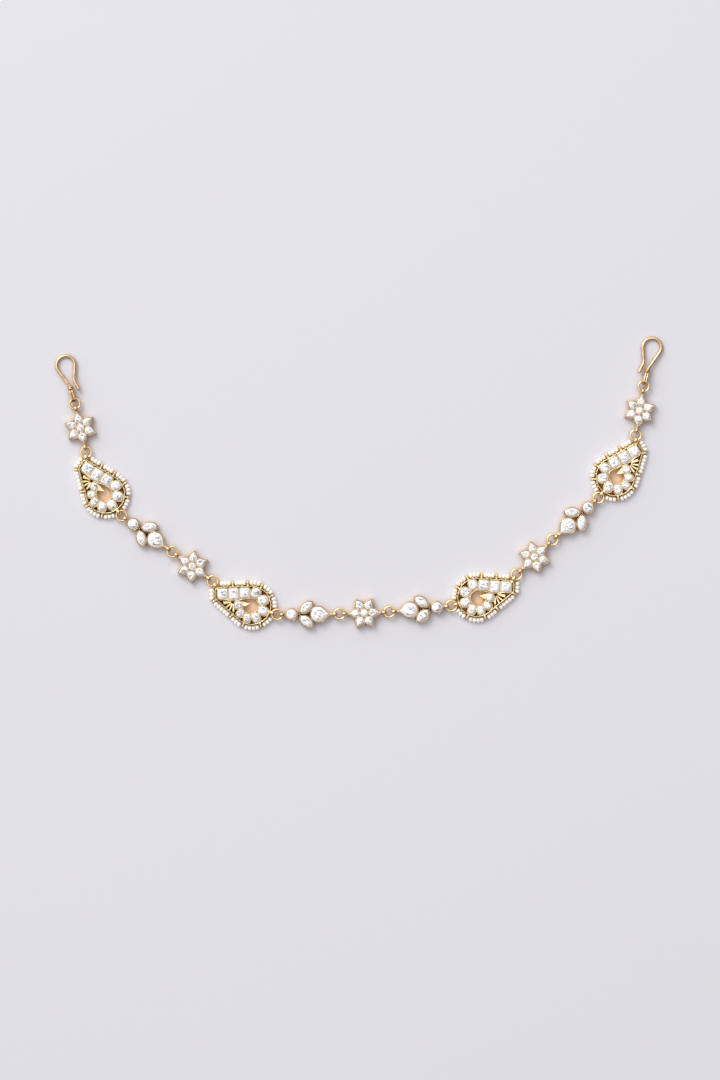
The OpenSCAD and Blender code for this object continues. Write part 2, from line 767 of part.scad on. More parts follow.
module motif_pearls(i) {
    color(pearl_colour)
        motif_on_chain(i)
            paisley_pearls();
}

module motif_pearl_wire(i) {
    color(gold)
        motif_on_chain(i)
            paisley_pearl_wire();
}

hook_left();
hook_right();
for (i = [0:motif_count])
    ring_on_chain(i);
for (i = [0:motif_count - 1]) {
    motif_setting(i);
    motif_stones(i);
    if (CHAIN[i][0] == "paisley") {
        motif_pearls(i);
        motif_pearl_wire(i);
    }
}
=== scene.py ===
import math
import random
from functools import partial

import bmesh
import bpy
import numpy as np
from mathutils import Matrix, Vector


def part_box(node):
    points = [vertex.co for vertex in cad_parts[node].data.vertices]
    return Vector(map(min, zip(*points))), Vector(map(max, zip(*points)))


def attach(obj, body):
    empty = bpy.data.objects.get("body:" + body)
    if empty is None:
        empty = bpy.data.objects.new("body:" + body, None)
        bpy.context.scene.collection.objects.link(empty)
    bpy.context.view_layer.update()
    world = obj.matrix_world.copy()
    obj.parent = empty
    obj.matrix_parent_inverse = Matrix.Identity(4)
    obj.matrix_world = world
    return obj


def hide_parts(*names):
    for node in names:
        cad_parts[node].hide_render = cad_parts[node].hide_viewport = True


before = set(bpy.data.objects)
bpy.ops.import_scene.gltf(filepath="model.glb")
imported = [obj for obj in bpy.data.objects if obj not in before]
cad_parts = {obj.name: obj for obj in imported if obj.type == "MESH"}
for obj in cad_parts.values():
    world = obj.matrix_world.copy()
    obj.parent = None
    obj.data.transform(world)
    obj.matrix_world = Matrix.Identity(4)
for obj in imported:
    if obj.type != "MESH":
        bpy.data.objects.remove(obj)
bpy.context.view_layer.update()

# The ground is a sheet of pale lavender grey card, lit by one large soft light from the
# upper left with a fainter fill around it. The camera looks straight down from above.
MM = 0.001
view_middle = (0.418, -21.465)
view_height = 410.4
camera_height = 1200
ground_side = 12000
ground_drop = 0.02
bright_side = (-0.55, 0.65, 0.75)


def new_finish(name):
    """A new material with its nodes, its way to link them and its shader."""
    material = bpy.data.materials.new(name)
    material.use_nodes = True
    nodes, link = material.node_tree.nodes, material.node_tree.links.new
    return material, nodes, link, nodes["Principled BSDF"]


def ramp(nodes, *stops):
    """A colour ramp through stops of a position and a colour, in rising order."""
    node = nodes.new("ShaderNodeValToRGB")
    elements = node.color_ramp.elements
    for element, (position, tone) in ((elements[0], stops[0]), (elements[1], stops[-1])):
        element.position = position
        element.color = (*tone, 1)
    for position, tone in stops[1:-1]:
        elements.new(position).color = (*tone, 1)
    return node


def painted_shade_card(name, tones, reach, samples, gloss):
    """Matt card with painted shade and painted warm light from the gold where the chain shuts it
    in, its plain tone where it lies open.
    """
    material, nodes, link, shader = new_finish(name)
    painted_shade_mask = nodes.new("ShaderNodeAmbientOcclusion")
    painted_shade_mask.inputs["Distance"].default_value = reach * MM
    painted_shade_mask.samples = samples
    painted_shade_and_bounce = ramp(nodes, *tones)
    link(painted_shade_mask.outputs["AO"], painted_shade_and_bounce.inputs["Fac"])
    link(painted_shade_and_bounce.outputs["Color"], shader.inputs["Base Color"])
    shader.inputs["Roughness"].default_value = 0.9
    shader.inputs["Specular IOR Level"].default_value = gloss
    return material


def made_object(name, bm, materials):
    """Puts what bm holds into the scene, as an object at the origin."""
    mesh = bpy.data.meshes.new(name)
    bm.to_mesh(mesh)
    bm.free()
    for material in materials:
        mesh.materials.append(material)
    made = bpy.data.objects.new(name, mesh)
    bpy.context.scene.collection.objects.link(made)
    return made


# The ground's tones: painted shade and painted warm light from the gold, darker and warmer the
# more the chain shuts the card in.
card_painted_shade_tones = ((0.25, (0.72, 0.52, 0.41)), (0.45, (0.69, 0.61, 0.61)),
              (0.68, (0.70, 0.69, 0.745)), (0.88, (0.735, 0.743, 0.797)))
pale_card_painted_shade = painted_shade_card("pale_card_painted_shade", card_painted_shade_tones, reach=4.5, samples=8, gloss=0.1)
bm = bmesh.new()
bmesh.ops.create_grid(bm, x_segments=2, y_segments=2, size=ground_side / 2 * MM)
bmesh.ops.translate(bm, verts=bm.verts, vec=(0, 0, -ground_drop * MM))
made_object("ground", bm, [pale_card_painted_shade])

camera_data = bpy.data.cameras.new("camera")
camera_data.sensor_fit = "VERTICAL"
camera_data.sensor_height = 36
camera_data.lens = camera_data.sensor_height * camera_height / view_height
camera_data.clip_end = 10
camera = bpy.data.objects.new("camera", camera_data)
camera.location = (view_middle[0] * MM, view_middle[1] * MM, camera_height * MM)
bpy.context.scene.collection.objects.link(camera)
bpy.context.scene.camera = camera
bpy.context.scene.view_settings.view_transform = "Standard"


def soft_light(name, at, side, watts, tint):
    """A square soft box that faces the chain."""
    light = bpy.data.lights.new(name, "AREA")
    light.shape = "SQUARE"
    light.size = side * MM
    light.energy = watts
    light.color = tint
    lamp = bpy.data.objects.new(name, light)
    lamp.location = Vector(at) * MM
    lamp.rotation_euler = (-Vector(at)).to_track_quat("-Z", "Y").to_euler()
    bpy.context.scene.collection.objects.link(lamp)


soft_light("window", at=(-1000, 1350, 1500), side=1200, watts=24, tint=(1, 0.985, 0.965))
soft_light("overhead", at=(450, -250, 1600), side=700, watts=3, tint=(1, 0.99, 1))

world = bpy.data.worlds.new("room")
world.use_nodes = True
bpy.context.scene.world = world
room_nodes, room_link = world.node_tree.nodes, world.node_tree.links.new
sky = room_nodes["Background"]
ways = room_nodes.new("ShaderNodeTexCoord")
bright_way = room_nodes.new("ShaderNodeVectorMath")
bright_way.operation = "DOT_PRODUCT"
bright_way.inputs[1].default_value = Vector(bright_side).normalized()
room_tones = ramp(room_nodes, (0.0, (0.07, 0.045, 0.035)), (0.3, (0.26, 0.22, 0.21)),
                  (0.6, (0.92, 0.91, 0.92)), (0.95, (1.0, 0.99, 0.98)))
room_link(ways.outputs["Generated"], bright_way.inputs[0])
room_link(bright_way.outputs["Value"], room_tones.inputs["Fac"])
room_link(room_tones.outputs["Color"], sky.inputs["Color"])
sky.inputs["Strength"].default_value = 1.1

# Jump rings: fourteen rings of round gold wire, soldered shut, that join the motifs and the
# hooks. They are plated like everything else of metal here, so the gold is made here too.
ring_r = 1.95
ring_wire = 0.8
ring_count = 14
ring_sides = 16
ring_steps = 56
smooth_degrees = 38


def plated_gold(name, pale, deep, unshaded_level=0.82):
    """Polished yellow plating over brass, with painted brown shade where it sinks into corners."""
    material, nodes, link, shader = new_finish(name)
    place = nodes.new("ShaderNodeTexCoord")
    cloud = nodes.new("ShaderNodeTexNoise")
    cloud.inputs["Scale"].default_value = 420
    cloud.inputs["Detail"].default_value = 3
    tint = ramp(nodes, (0.35, deep), (0.68, pale))
    # Painted shade: the colour is multiplied down to brown and near black where the surface sinks
    # into corners and gaps.
    corner = nodes.new("ShaderNodeAmbientOcclusion")
    corner.inputs["Distance"].default_value = 1.1 * MM
    corner.samples = 6
    painted_corner_shade = ramp(nodes, (unshaded_level - 0.55, (0.10, 0.036, 0.01)), (unshaded_level - 0.25, (0.50, 0.34, 0.18)),
                 (unshaded_level, (1, 1, 1)))
    tint_with_painted_shade = nodes.new("ShaderNodeMix")
    tint_with_painted_shade.data_type = "RGBA"
    tint_with_painted_shade.blend_type = "MULTIPLY"
    tint_with_painted_shade.inputs["Factor"].default_value = 1
    wear = nodes.new("ShaderNodeTexNoise")
    wear.inputs["Scale"].default_value = 1600
    wear.inputs["Detail"].default_value = 2
    polish = nodes.new("ShaderNodeMapRange")
    polish.inputs["To Min"].default_value = 0.14
    polish.inputs["To Max"].default_value = 0.34
    dents = nodes.new("ShaderNodeBump")
    dents.inputs["Strength"].default_value = 0.22
    dents.inputs["Distance"].default_value = 0.12 * MM
    link(place.outputs["Object"], cloud.inputs["Vector"])
    link(place.outputs["Object"], wear.inputs["Vector"])
    link(cloud.outputs["Fac"], tint.inputs["Fac"])
    link(corner.outputs["AO"], painted_corner_shade.inputs["Fac"])
    link(tint.outputs["Color"], tint_with_painted_shade.inputs["A"])
    link(painted_corner_shade.outputs["Color"], tint_with_painted_shade.inputs["B"])
    link(tint_with_painted_shade.outputs["Result"], shader.inputs["Base Color"])
    link(wear.outputs["Fac"], polish.inputs["Value"])
    link(polish.outputs["Result"], shader.inputs["Roughness"])
    link(cloud.outputs["Fac"], dents.inputs["Height"])
    link(dents.outputs["Normal"], shader.inputs["Normal"])
    shader.inputs["Metallic"].default_value = 1
    return material


ring_gold = plated_gold("ring_gold", pale=(1.0, 0.78, 0.42), deep=(0.95, 0.66, 0.29))


def ring_middle(number):
    """Middle of a jump ring of the frame."""
    low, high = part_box(f"jump_ring_{number}")
    return (low + high) / 2 / MM


def added(bm, before):
    """The vertices that bm holds beyond those in before."""
    return [v for v in bm.verts if v not in before]


def wire_ring(bm, radius, wire, place):
    """A closed ring of round wire about the z axis, moved by place."""
    round_wire = bmesh.ops.create_circle(
        bm, segments=ring_sides, radius=wire / 2,
        matrix=Matrix.Translation((radius, 0, 0)) @ Matrix.Rotation(math.pi / 2, 4, "X"))["verts"]
    edges = list({edge for vert in round_wire for edge in vert.link_edges})
    before = set(bm.verts) - set(round_wire)
    bmesh.ops.spin(bm, geom=round_wire + edges, cent=(0, 0, 0), axis=(0, 0, 1),
                   angle=math.tau, steps=ring_steps, use_merge=True, use_duplicate=False)
    bmesh.ops.transform(bm, matrix=place, verts=added(bm, before))


def finish_piece(bm, name, materials, node, place, sharp_degrees=smooth_degrees):
    """Turns a mesh in millimetres into a piece that stands for a node."""
    bmesh.ops.transform(bm, matrix=Matrix.Scale(MM, 4) @ place, verts=bm.verts)
    bmesh.ops.recalc_face_normals(bm, faces=bm.faces)
    piece = made_object(name, bm, materials)
    piece.data.shade_smooth()
    piece.data.set_sharp_from_angle(angle=math.radians(sharp_degrees))
    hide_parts(node)
    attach(piece, "root")


for number in range(1, ring_count + 1):
    bm = bmesh.new()
    wire_ring(bm, ring_r, ring_wire, Matrix.Translation(ring_middle(number)))
    finish_piece(bm, f"ring_{number}", [ring_gold], f"jump_ring_{number}",
                 Matrix.Identity(4))

# Hooks: one length of gold wire each, bent into an open bow with a flared end. At its foot
# sits a loop of two turns that holds the last jump ring, bound with two wraps of thin wire.
eye_bore = 1.3
eye_height = 2.1
hook_wire = 1.25
hook_sides = 20
hook_tilt = 5.023
bow_r = 3.5
bend_r = 3
bend_step = 6
end_steps = 5
loop_wire = 0.9
loop_length = 2.4
loop_aside = 0.4
wrap_count = 2
wrap_wire = 0.6
wrap_pitch = wrap_wire - 0.08
wrap_sink = 0.05

# The bow from its foot on: a line has a length, an arc a radius and an angle.
hook_bends = (("line", 0.8), ("arc", bend_r, 20.9), ("line", 7.2), ("arc", bow_r, -219),
              ("line", 4.8), ("arc", bend_r, 31), ("line", 3.0))
hook_gold = plated_gold("hook_gold", pale=(0.92, 0.67, 0.41), deep=(0.66, 0.42, 0.21))


def turned_to(heading, at=(0, 0, 0)):
    """Turns a shape about the z axis and moves its origin to a point."""
    return Matrix.Translation(at) @ Matrix.Rotation(math.radians(heading), 4, "Z")


class Wire:
    """Round wire, drawn out of its own end straight or round a bend. Its heading is in radians."""

    def __init__(self, bm, wire, at):
        self.bm, self.wire = bm, wire
        self.at, self.heading = Vector(at), 0
        self.end = bmesh.ops.create_circle(
            bm, segments=hook_sides, radius=wire / 2,
            matrix=Matrix.Translation(at) @ Matrix.Rotation(math.pi / 2, 4, "Y"))["verts"]

    def ahead(self):
        return Vector((math.cos(self.heading), math.sin(self.heading), 0))

    def end_edges(self):
        rim = set(self.end)
        return list({e for v in self.end for e in v.link_edges if set(e.verts) <= rim})

    def line(self, length, shrink=1.0):
        grown = bmesh.ops.extrude_edge_only(self.bm, edges=self.end_edges())["geom"]
        self.end = [g for g in grown if isinstance(g, bmesh.types.BMVert)]
        bmesh.ops.translate(self.bm, verts=self.end, vec=self.ahead() * length)
        self.at += self.ahead() * length
        if shrink != 1.0:
            bmesh.ops.scale(self.bm, vec=(shrink,) * 3, verts=self.end,
                            space=Matrix.Translation(-self.at))

    def arc(self, radius, degrees):
        side = Vector((-math.sin(self.heading), math.cos(self.heading), 0))
        middle = self.at + side * math.copysign(radius, degrees)
        turn = math.radians(degrees)
        swept = bmesh.ops.spin(
            self.bm, geom=self.end + self.end_edges(), cent=middle, axis=(0, 0, 1), angle=turn,
            steps=max(2, round(abs(degrees) / bend_step)), use_merge=False, use_duplicate=False)
        self.end = [g for g in swept["geom_last"] if isinstance(g, bmesh.types.BMVert)]
        self.at = middle + Matrix.Rotation(turn, 3, "Z") @ (self.at - middle)
        self.heading += turn

    def rounded_end(self):
        radius = self.wire / 2
        for step in range(1, end_steps):
            before = math.pi / 2 * (step - 1) / end_steps
            angle = math.pi / 2 * step / end_steps
            self.line(radius * (math.sin(angle) - math.sin(before)),
                      math.cos(angle) / math.cos(before))
        bmesh.ops.contextual_create(self.bm, geom=self.end_edges())


def hook(bm):
    """A hook that lies along the x axis, with its loop's far turn about the origin."""
    loop_r = (eye_bore + loop_wire) / 2
    foot = loop_length + loop_r
    bow = Wire(bm, hook_wire, (foot, 0, 0))
    bmesh.ops.contextual_create(bm, geom=bow.end_edges())
    for kind, *sizes in hook_bends:
        if kind == "line":
            bow.line(*sizes)
        else:
            bow.arc(*sizes)
    bow.rounded_end()
    for side in (-1, 1):
        before = set(bm.verts)
        turn = Wire(bm, loop_wire, (0, -loop_r, 0))
        for half in range(2):
            turn.line(loop_length)
            turn.arc(loop_r, 180)
        bmesh.ops.remove_doubles(bm, verts=added(bm, before), dist=0.01)
        upright = (Matrix.Translation((0, side * loop_aside, 0))
                   @ Matrix.Rotation(math.pi / 2, 4, "X"))
        bmesh.ops.transform(bm, matrix=upright, verts=added(bm, before))
    for wrap in range(wrap_count):
        along = foot + loop_wire / 2 + wrap_pitch * wrap
        wire_ring(bm, (hook_wire + wrap_wire) / 2 - wrap_sink, wrap_wire,
                  Matrix.Translation((along, 0, 0)) @ Matrix.Rotation(math.pi / 2, 4, "Y"))


for side, ring_number, shank_heading, hand in (("left", 1, 105.4, 1),
                                               ("right", ring_count, 75.5, -1)):
    bm = bmesh.new()
    hook(bm)
    middle = ring_middle(ring_number)
    place = (turned_to(shank_heading, (middle.x, middle.y, eye_height))
             @ Matrix.Translation((ring_r, 0, 0))
             @ Matrix.Diagonal((1, hand, 1, 1))
             @ Matrix.Rotation(math.radians(hook_tilt), 4, "Y"))
    finish_piece(bm, f"wire_hook_{side}", [hook_gold], f"hook_{side}", place)

# Flowers: five of them, each with six pear-shaped collets round a round one, of gold strip
# soldered to a closed back, and a link eye at two opposite petal tips.
motif_kinds = ("flower paisley trio flower paisley trio flower "
               "trio paisley flower trio paisley flower").split()
wall_height = 2.6
pocket_depth = 1.4
collet_wall = 0.45
collet_sides = 40
lip_width = 0.25
lip_round = 0.45 * lip_width
eye_rim = 0.6
eye_width = 1.4
eye_steps = 40
dome_steps = 8
neck_in = 0.8
neck_low = 0.45
neck_high = wall_height - 0.1
neck_width = eye_width - 0.3
neck_round = 0.3
link_reach = 3.1
petal_count = 6
petal_angles = [360 * k / petal_count for k in range(petal_count)]
middle_stone = 2.8
petal_stone = 2.9
petal_at = 3.3
petal_point = 2.3
petal_edge = petal_at + (petal_stone / 2 + collet_wall) * petal_point / (petal_stone / 2)
level_slack = 0.0001

# Neighbouring collets differ by a hair in foot and top, so that no two faces share a plane.
foot_step = 0.003
top_step = 0.006
middle_foot = 0.02
middle_rise = 0.03
collet_gold = plated_gold("collet_gold", pale=(0.92, 0.72, 0.44), deep=(0.70, 0.48, 0.24))
# Near-black brown gold, a painted shade for the collets' floors, the trios' backs and the
# paisleys' plates and flanges.
painted_shade_gold = plated_gold("painted_shade_gold", pale=(0.24, 0.10, 0.028), deep=(0.12, 0.045, 0.012))


def polar(radius, degrees):
    """The point at a distance and a heading from the origin."""
    return Vector((radius * math.cos(math.radians(degrees)),
                   radius * math.sin(math.radians(degrees)), 0))


def oval_outline(length, width, grow, sides, squareness=1.0):
    """An oval. A squareness under 1 fills its corners."""
    ways = [polar(1, 360 * i / sides) for i in range(sides)]
    return [Vector((math.copysign(abs(way.x) ** squareness, way.x) * (length / 2 + grow),
                    math.copysign(abs(way.y) ** squareness, way.y) * (width / 2 + grow), 0))
            for way in ways]


def pear_outline(point, width, grow, sides):
    """A circle with a straight-sided point along x, its tip at point when grow is 0."""
    radius = width / 2
    half = math.degrees(math.acos(radius / point))
    round_end = [polar(radius + grow, half + (360 - 2 * half) * i / (sides - 2))
                 for i in range(sides - 1)]
    return [Vector(((radius + grow) * point / radius, 0, 0))] + round_end


def placed(points, at, heading):
    """An outline turned to a heading and moved to a point."""
    turn = turned_to(heading, at)
    return [turn @ p for p in points]


def up_edges(faces, level):
    """Edges at a level where one of the given faces meets another face."""
    inside = set(faces)
    return list({e for f in faces for e in f.edges
                 if any(g not in inside for g in e.link_faces)
                 and all(abs(v.co.z - level) < level_slack for v in e.verts)})


def raised(bm, points, low, high):
    """A closed block on an outline. Returns its top face."""
    bottom = bm.faces.new([bm.verts.new((p.x, p.y, low)) for p in points])
    grown = bmesh.ops.extrude_face_region(bm, geom=[bottom])["geom"]
    bmesh.ops.translate(bm, verts=[g for g in grown if isinstance(g, bmesh.types.BMVert)],
                        vec=(0, 0, high - low))
    return next(g for g in grown if isinstance(g, bmesh.types.BMFace))


def rounded_off(bm, faces, level, width, segments):
    """Rounds the edges at a level round the given faces."""
    bmesh.ops.bevel(bm, geom=up_edges(faces, level), offset=width, offset_type="OFFSET",
                    affect="EDGES", segments=segments, profile=0.5, material=-1,
                    clamp_overlap=True)


def strip_of_gold(bm, points, wall, low, high, lip):
    """A strip of gold bent round the inside of an outline, its lips rounded."""
    around = bm.faces.new([bm.verts.new((p.x, p.y, low)) for p in points])
    around.normal_update()
    foot = bmesh.ops.inset_region(bm, faces=[around], thickness=wall, use_even_offset=True,
                                  use_boundary=True)["faces"]
    bmesh.ops.delete(bm, geom=[around], context="FACES_ONLY")
    grown = bmesh.ops.extrude_face_region(bm, geom=foot, use_keep_orig=True)["geom"]
    bmesh.ops.translate(bm, verts=[g for g in grown if isinstance(g, bmesh.types.BMVert)],
                        vec=(0, 0, high - low))
    rounded_off(bm, [g for g in grown if isinstance(g, bmesh.types.BMFace)], high, lip,
                segments=4)


def collet(bm, outline, at, heading, low, high):
    """A strip of gold round a stone's outline, on a closed floor in painted shade."""
    strip_of_gold(bm, placed(outline(collet_wall, collet_sides), at, heading), lip_width, low,
                  high, lip_round)
    floor = raised(bm, placed(outline(collet_wall - lip_width / 2, collet_sides), at, heading),
                   low, wall_height - pocket_depth)
    floor.material_index = 1


def spun_ring(bm, profile, steps):
    """A closed profile spun once round the z axis. Returns the ring's vertices."""
    before = set(bm.verts)
    verts = [bm.verts.new(p) for p in profile]
    edges = [bm.edges.new(ends) for ends in zip(verts, verts[1:] + verts[:1])]
    bmesh.ops.spin(bm, geom=verts + edges, cent=(0, 0, 0), axis=(0, 0, 1), angle=math.tau,
                   steps=steps, use_merge=True, use_duplicate=False)
    return added(bm, before)


def half_round_ring(bm, bore, rim, width, steps):
    """A ring with a flat bore and a domed outside."""
    inner = bore / 2
    dome = [Vector((inner, 0, -width / 2)), Vector((inner, 0, width / 2))]
    dome += [Vector((inner + rim * math.cos(a), 0, width / 2 * math.sin(a)))
             for a in (math.pi / 2 - math.pi * k / dome_steps for k in range(1, dome_steps))]
    return spun_ring(bm, dome, steps)


def block(bm, size, middle):
    """A box of gold. Returns its vertices."""
    verts = bmesh.ops.create_cube(bm, size=1)["verts"]
    bmesh.ops.scale(bm, vec=size, verts=verts)
    bmesh.ops.translate(bm, verts=verts, vec=middle)
    return verts


def link_eye(bm, at, heading):
    """An upright half-round eye on a neck from the edge of a setting."""
    before = set(bm.verts)
    ring = half_round_ring(bm, eye_bore, eye_rim, eye_width, eye_steps)
    ring_sagitta = eye_width ** 2 / (8 * ring_r)
    out = link_reach - ring_r + ring_sagitta / 2
    bmesh.ops.transform(
        bm, verts=ring,
        matrix=Matrix.Translation((out, 0, eye_height)) @ Matrix.Rotation(math.pi / 2, 4, "X"))
    neck_out = out - eye_bore / 2 - eye_rim / 4
    neck = block(bm, (neck_in + neck_out, neck_width, neck_high - neck_low),
                 ((neck_out - neck_in) / 2, 0, (neck_low + neck_high) / 2))
    long_edges = list({e for v in neck for e in v.link_edges
                       if abs((e.verts[0].co - e.verts[1].co).normalized().x) > 0.9})
    bmesh.ops.bevel(bm, geom=long_edges, offset=neck_round, offset_type="OFFSET",
                    affect="EDGES", segments=4, profile=0.5, material=-1)
    bmesh.ops.transform(bm, verts=added(bm, before), matrix=turned_to(heading, at))


def motifs(wanted):
    """Number of each motif of one kind, and its place in the chain, from left to right."""
    return enumerate((index for index, kind in enumerate(motif_kinds) if kind == wanted), 1)


def motif_place(index, first, last):
    """Where a motif stands, from its two ring points as they are on the left of the chain."""
    mirrored = index > len(motif_kinds) // 2
    if mirrored:
        first, last = Vector((-last.x, last.y, 0)), Vector((-first.x, first.y, 0))
    start, end = (ring_middle(n).xy.to_3d() for n in (index + 1, index + 2))
    run, chord = end - start, last - first
    turn = math.atan2(run.y, run.x) - math.atan2(chord.y, chord.x)
    place = Matrix.Translation(start) @ Matrix.Rotation(turn, 4, "Z") @ Matrix.Translation(-first)
    return place @ Matrix.Diagonal((-1 if mirrored else 1, 1, 1, 1))


middle_outline = partial(oval_outline, middle_stone, middle_stone)
petal_outline = partial(pear_outline, petal_point, petal_stone)
flower_reach = Vector((petal_edge + link_reach, 0, 0))
flower_places = {number: motif_place(index, -flower_reach, flower_reach)
                 for number, index in motifs("flower")}
for number, place in flower_places.items():
    bm = bmesh.new()
    for k, angle in enumerate(petal_angles):
        collet(bm, petal_outline, polar(petal_at, angle), angle, foot_step * k,
               wall_height - top_step * k)
    collet(bm, middle_outline, Vector(), 0, middle_foot, wall_height + middle_rise)
    for heading in (0, 180):
        link_eye(bm, polar(petal_edge, heading), heading)
    finish_piece(bm, f"flower_{number}_collets", [collet_gold, painted_shade_gold],
                 f"flower_{number}_setting", place)

# The stones of the flowers: flat-backed white stones over silver foil, cut by hand with a small
# table and uneven facets, so each shows grey patches where the foil turns away, painted as
# reflections in their colour.
stone_gap = 0.05
stone_spread = 0.1
stone_base_share = 0.92
girdle = wall_height - 0.1
girdle_sides = 24
crown_height = 0.6
crown_sides = 9
crown_share = 0.86
crown_uneven = (-0.03, 0.02)
crown_level = (0.42, 0.56)
table_sides = 8
table_share = 0.58
table_uneven = (-0.06, 0.05)
facet_degrees = 4
painted_reflection_fade = (0.30, 0.50)
edge_shade_reach = 0.22


def stone_with_painted_reflections(name):
    """White glassy stone: painted grey reflections in its table, and painted shade with reflected
    gold at its edge, going to cream.
    """
    material, nodes, link, shader = new_finish(name)
    place = nodes.new("ShaderNodeTexCoord")
    slant = nodes.new("ShaderNodeMapping")
    slant.inputs["Rotation"].default_value = (0, 0, math.radians(38))
    slant.inputs["Scale"].default_value = (1, 1.9, 1)
    facets = nodes.new("ShaderNodeTexVoronoi")
    facets.feature = "F1"
    facets.inputs["Scale"].default_value = 1250
    split = nodes.new("ShaderNodeSeparateColor")
    # Painted reflections: grey strokes in the colour where the facets would mirror the foil and
    # darker surroundings.
    painted_facet_reflections = ramp(nodes, (0.06, (0.22, 0.24, 0.27)), (0.24, (0.62, 0.65, 0.69)),
                   (0.4, (0.97, 0.97, 0.98)))
    height = nodes.new("ShaderNodeSeparateXYZ")
    table = nodes.new("ShaderNodeMapRange")
    table.inputs["From Min"].default_value = (girdle + painted_reflection_fade[0]) * MM
    table.inputs["From Max"].default_value = (girdle + painted_reflection_fade[1]) * MM
    edge = nodes.new("ShaderNodeMapRange")
    edge.inputs["From Min"].default_value = girdle * MM
    edge.inputs["From Max"].default_value = (girdle + edge_shade_reach) * MM
    # Painted shade and reflected gold: brown at the girdle, cream and then white a little above
    # it.
    rim = ramp(nodes, (0, (0.36, 0.21, 0.10)), (0.35, (0.90, 0.82, 0.70)), (1, (0.97, 0.96, 0.95)))
    tone = nodes.new("ShaderNodeMix")
    tone.data_type = "RGBA"
    link(place.outputs["Object"], slant.inputs["Vector"])
    link(slant.outputs["Vector"], facets.inputs["Vector"])
    link(facets.outputs["Color"], split.inputs["Color"])
    link(split.outputs["Red"], painted_facet_reflections.inputs["Fac"])
    link(place.outputs["Object"], height.inputs[0])
    link(height.outputs["Z"], table.inputs["Value"])
    link(height.outputs["Z"], edge.inputs["Value"])
    link(edge.outputs["Result"], rim.inputs["Fac"])
    link(table.outputs["Result"], tone.inputs["Factor"])
    link(rim.outputs["Color"], tone.inputs["A"])
    link(painted_facet_reflections.outputs["Color"], tone.inputs["B"])
    link(tone.outputs["Result"], shader.inputs["Base Color"])
    shader.inputs["Roughness"].default_value = 0.08
    shader.inputs["IOR"].default_value = 1.6
    shader.inputs["Coat Weight"].default_value = 0.6
    shader.inputs["Coat Roughness"].default_value = 0.03
    return material


stone_foil_painted_reflections = stone_with_painted_reflections("stone_foil_painted_reflections")


def cut_stone(bm, outline, at, heading, draw, spread):
    """A convex stone: tapered base, girdle, uneven crown facets and a table."""
    points = []
    rim = outline(spread, girdle_sides)
    for share, z in ((stone_base_share, wall_height - pocket_depth + stone_gap), (1, girdle)):
        points += [Vector((p.x * share, p.y * share, z)) for p in rim]
    for p in outline(0, crown_sides):
        share = crown_share + draw.uniform(*crown_uneven)
        points.append(Vector((p.x * share, p.y * share,
                              girdle + crown_height * draw.uniform(*crown_level))))
    for p in outline(0, table_sides):
        share = table_share + draw.uniform(*table_uneven)
        points.append(Vector((p.x * share, p.y * share, girdle + crown_height)))
    verts = [bm.verts.new(p) for p in placed(points, at, heading)]
    hull = bmesh.ops.convex_hull(bm, input=verts)
    bmesh.ops.delete(bm, geom=[g for g in hull["geom_interior"]
                               if isinstance(g, bmesh.types.BMVert)], context="VERTS")


def cut_stones(kind, number, stones, seed, place, spread=stone_spread):
    """The stones of one motif, cut in the order of stones: outline, place and heading."""
    bm = bmesh.new()
    draw = random.Random(seed)
    for outline, at, heading in stones:
        cut_stone(bm, outline, at, heading, draw, spread)
    bmesh.ops.dissolve_limit(bm, angle_limit=math.radians(1), verts=bm.verts, edges=bm.edges)
    finish_piece(bm, f"{kind}_{number}_cut_stones", [stone_foil_painted_reflections],
                 f"{kind}_{number}_stones", place, sharp_degrees=facet_degrees)


flower_stones = [(middle_outline, Vector(), 0)]
flower_stones += [(petal_outline, polar(petal_at, angle), angle) for angle in petal_angles]
for number, place in flower_places.items():
    cut_stones("flower", number, flower_stones, 40 + number, place)

# Trios: four of them, each a round collet, two marquise collets and a large pear collet,
# soldered where they touch, with a link eye at each end.
round_stone = 3.9
marquise_stone = (5.6, 3.2)
marquise_along = 5.65
marquise_aside = 2.7
marquise_turn = 41.5
marquise_fullness = 0.4
pear_stone = 5.6
pear_along = 10.25
pear_point = 3.9
pear_neck = 0.35
back_in = 1.2
back_aside = 0.7
back_foot = 0.02
back_top = 0.8
painted_shade_below = 0.9
solder_in = 0.55
solder_foot = 0.03
solder_size = (1.0, 0.8, wall_height - 0.35)
tip_block = (1.6, 0.9, 1.9)
tip_block_in = 0.7
tip_block_height = 1.45


def marquise_outline(length, width, grow, sides):
    """Two arcs that meet in points, each filled out a little towards an oval."""
    side_r = (length ** 2 + width ** 2) / (4 * width)
    off = side_r - width / 2
    radius = side_r + grow
    half = math.degrees(math.acos(off / radius))
    steps = max(2, sides // 2)
    arc = [polar(radius, 90 - half + 2 * half * i / steps) - Vector((0, off, 0))
           for i in range(steps)]
    reach = radius * math.sin(math.radians(half))
    full = [Vector((reach * math.cos(math.pi * i / steps),
                    (width / 2 + grow) * math.sin(math.pi * i / steps), 0))
            for i in range(steps)]
    arc = [a.lerp(b, marquise_fullness) for a, b in zip(arc, full)]
    return arc + [-p for p in arc]


